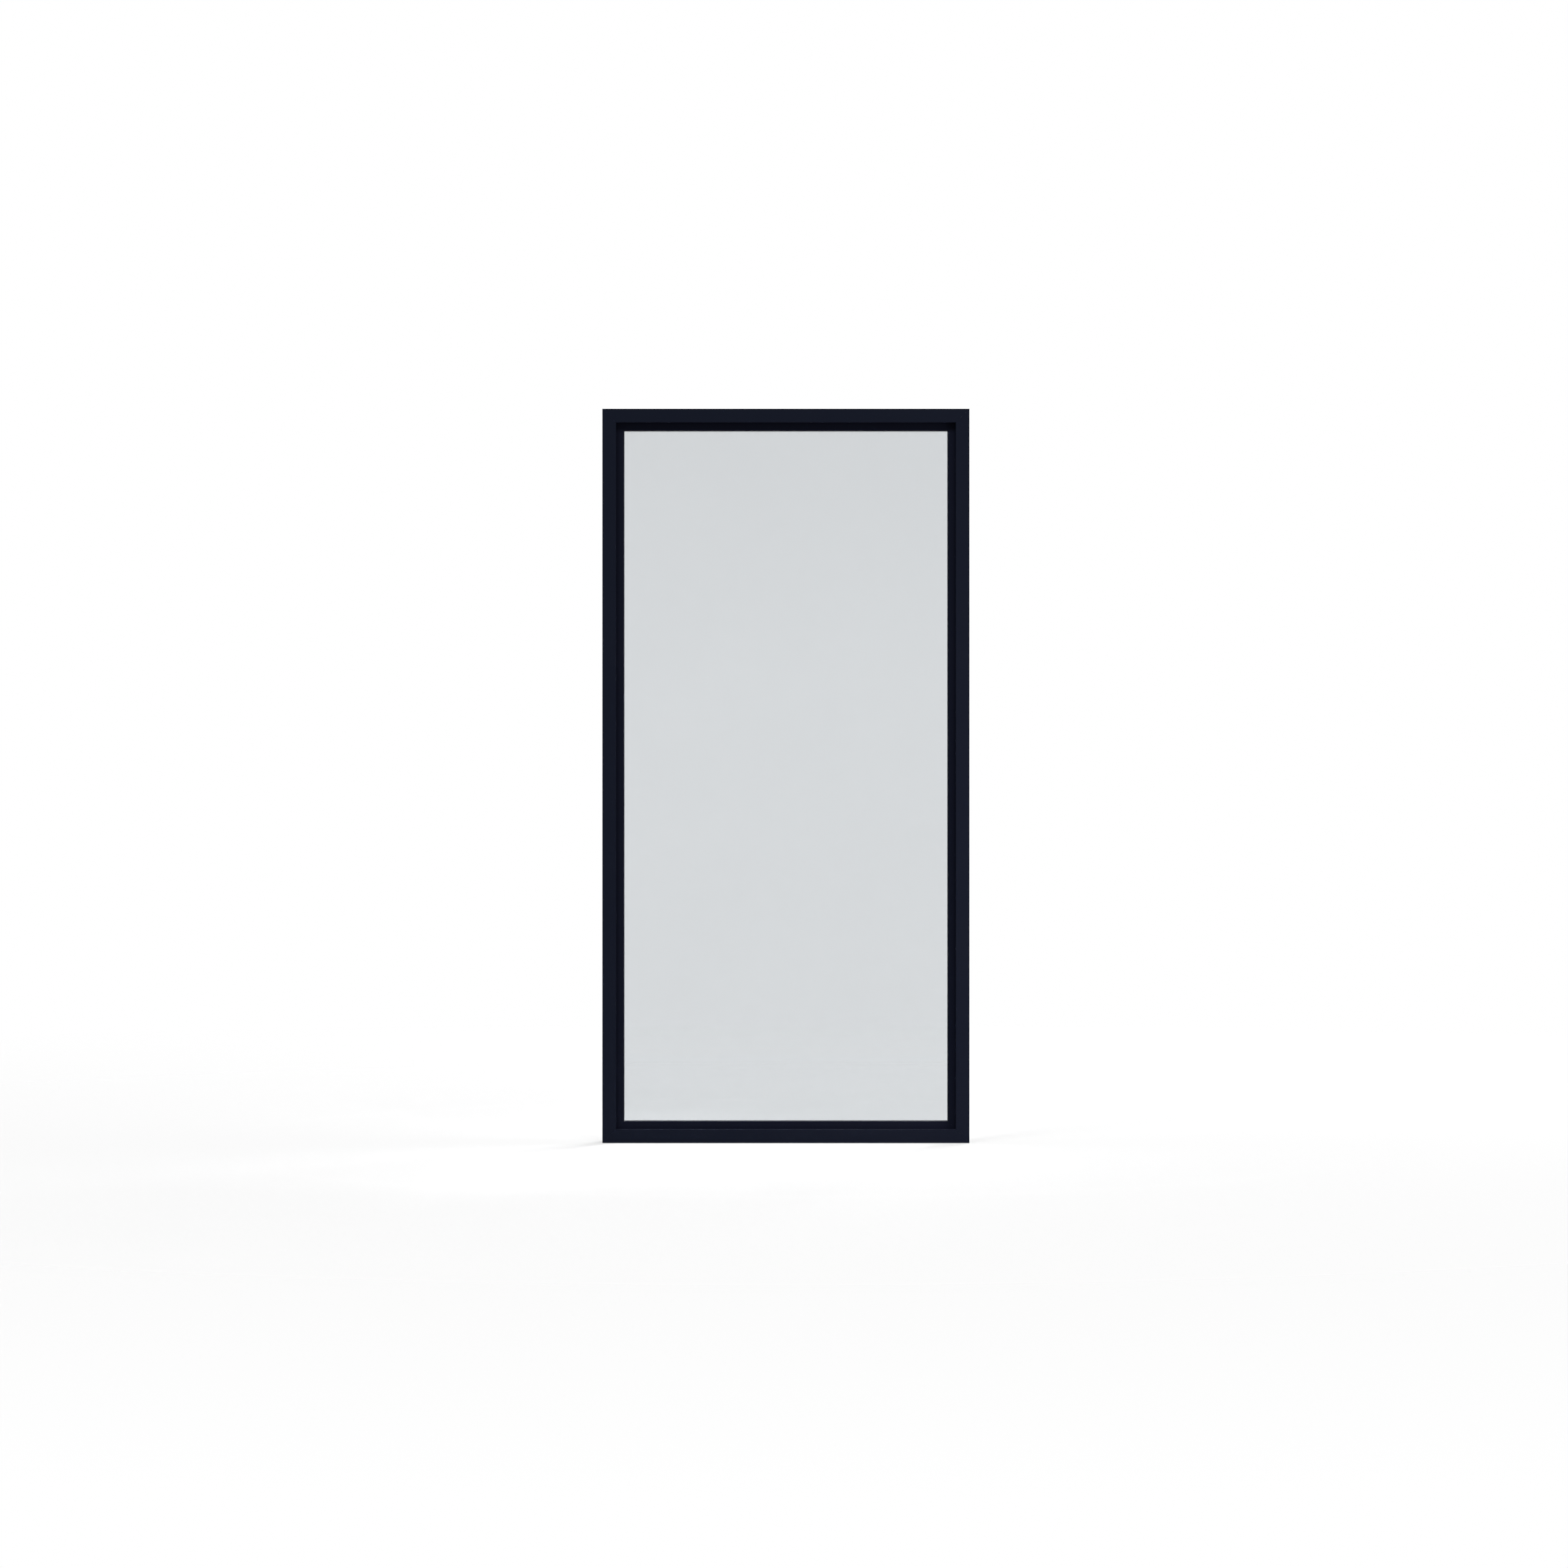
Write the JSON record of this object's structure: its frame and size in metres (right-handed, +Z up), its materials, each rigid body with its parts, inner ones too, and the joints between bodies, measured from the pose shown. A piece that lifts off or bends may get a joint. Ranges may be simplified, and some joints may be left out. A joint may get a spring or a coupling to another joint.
{
  "type": "aluminium fixed window",
  "caption": "Tall fixed window with a mitred black aluminium frame, set-back glazing beads, rubber gaskets and a sealed double-glazed unit.",
  "frame": {"origin": "middle of the sill's flat underside, where the frame stands in its wall opening", "axes": "+X to the right seen from the room, +Y from the room side to the weather side, +Z up"},
  "size_m": [1, 0.0815, 2],
  "materials": {
    "frame_coating": "matte",
    "bead_coating": "matte",
    "polyamide": "matte",
    "gasket_rubber": "matte",
    "glass": "gloss",
    "spacer_metal": "satin",
    "edge_sealant": "matte",
    "block_plastic": "matte",
    "mill_aluminium": "satin",
    "cap_plastic": "matte"
  },
  "bodies": {
    "root": {"room_frame_sill": "frame_coating", "room_frame_head": "frame_coating", "room_frame_left": "frame_coating", "room_frame_right": "frame_coating", "weather_frame_sill": "frame_coating", "weather_frame_head": "frame_coating", "weather_frame_left": "frame_coating", "weather_frame_right": "frame_coating", "thermal_strips_sill": "polyamide", "thermal_strips_head": "polyamide", "thermal_strips_left": "polyamide", "thermal_strips_right": "polyamide", "glazing_bead_sill": "bead_coating", "glazing_bead_head": "bead_coating", "glazing_bead_left": "bead_coating", "glazing_bead_right": "bead_coating", "room_gasket_sill": "gasket_rubber", "room_gasket_head": "gasket_rubber", "room_gasket_left": "gasket_rubber", "room_gasket_right": "gasket_rubber", "weather_gasket_sill": "gasket_rubber", "weather_gasket_head": "gasket_rubber", "weather_gasket_left": "gasket_rubber", "weather_gasket_right": "gasket_rubber", "spacer_bar_sill": "spacer_metal", "spacer_bar_head": "spacer_metal", "spacer_bar_left": "spacer_metal", "spacer_bar_right": "spacer_metal", "edge_seal_sill": "edge_sealant", "edge_seal_head": "edge_sealant", "edge_seal_left": "edge_sealant", "edge_seal_right": "edge_sealant", "room_pane": "glass", "weather_pane": "glass", "setting_blocks": "block_plastic", "location_blocks": "block_plastic", "corner_cleats_bottom_left": "mill_aluminium", "corner_cleats_bottom_right": "mill_aluminium", "corner_cleats_top_left": "mill_aluminium", "corner_cleats_top_right": "mill_aluminium", "drain_cap_left": "cap_plastic", "drain_cap_right": "cap_plastic"}
  },
  "joints": []
}
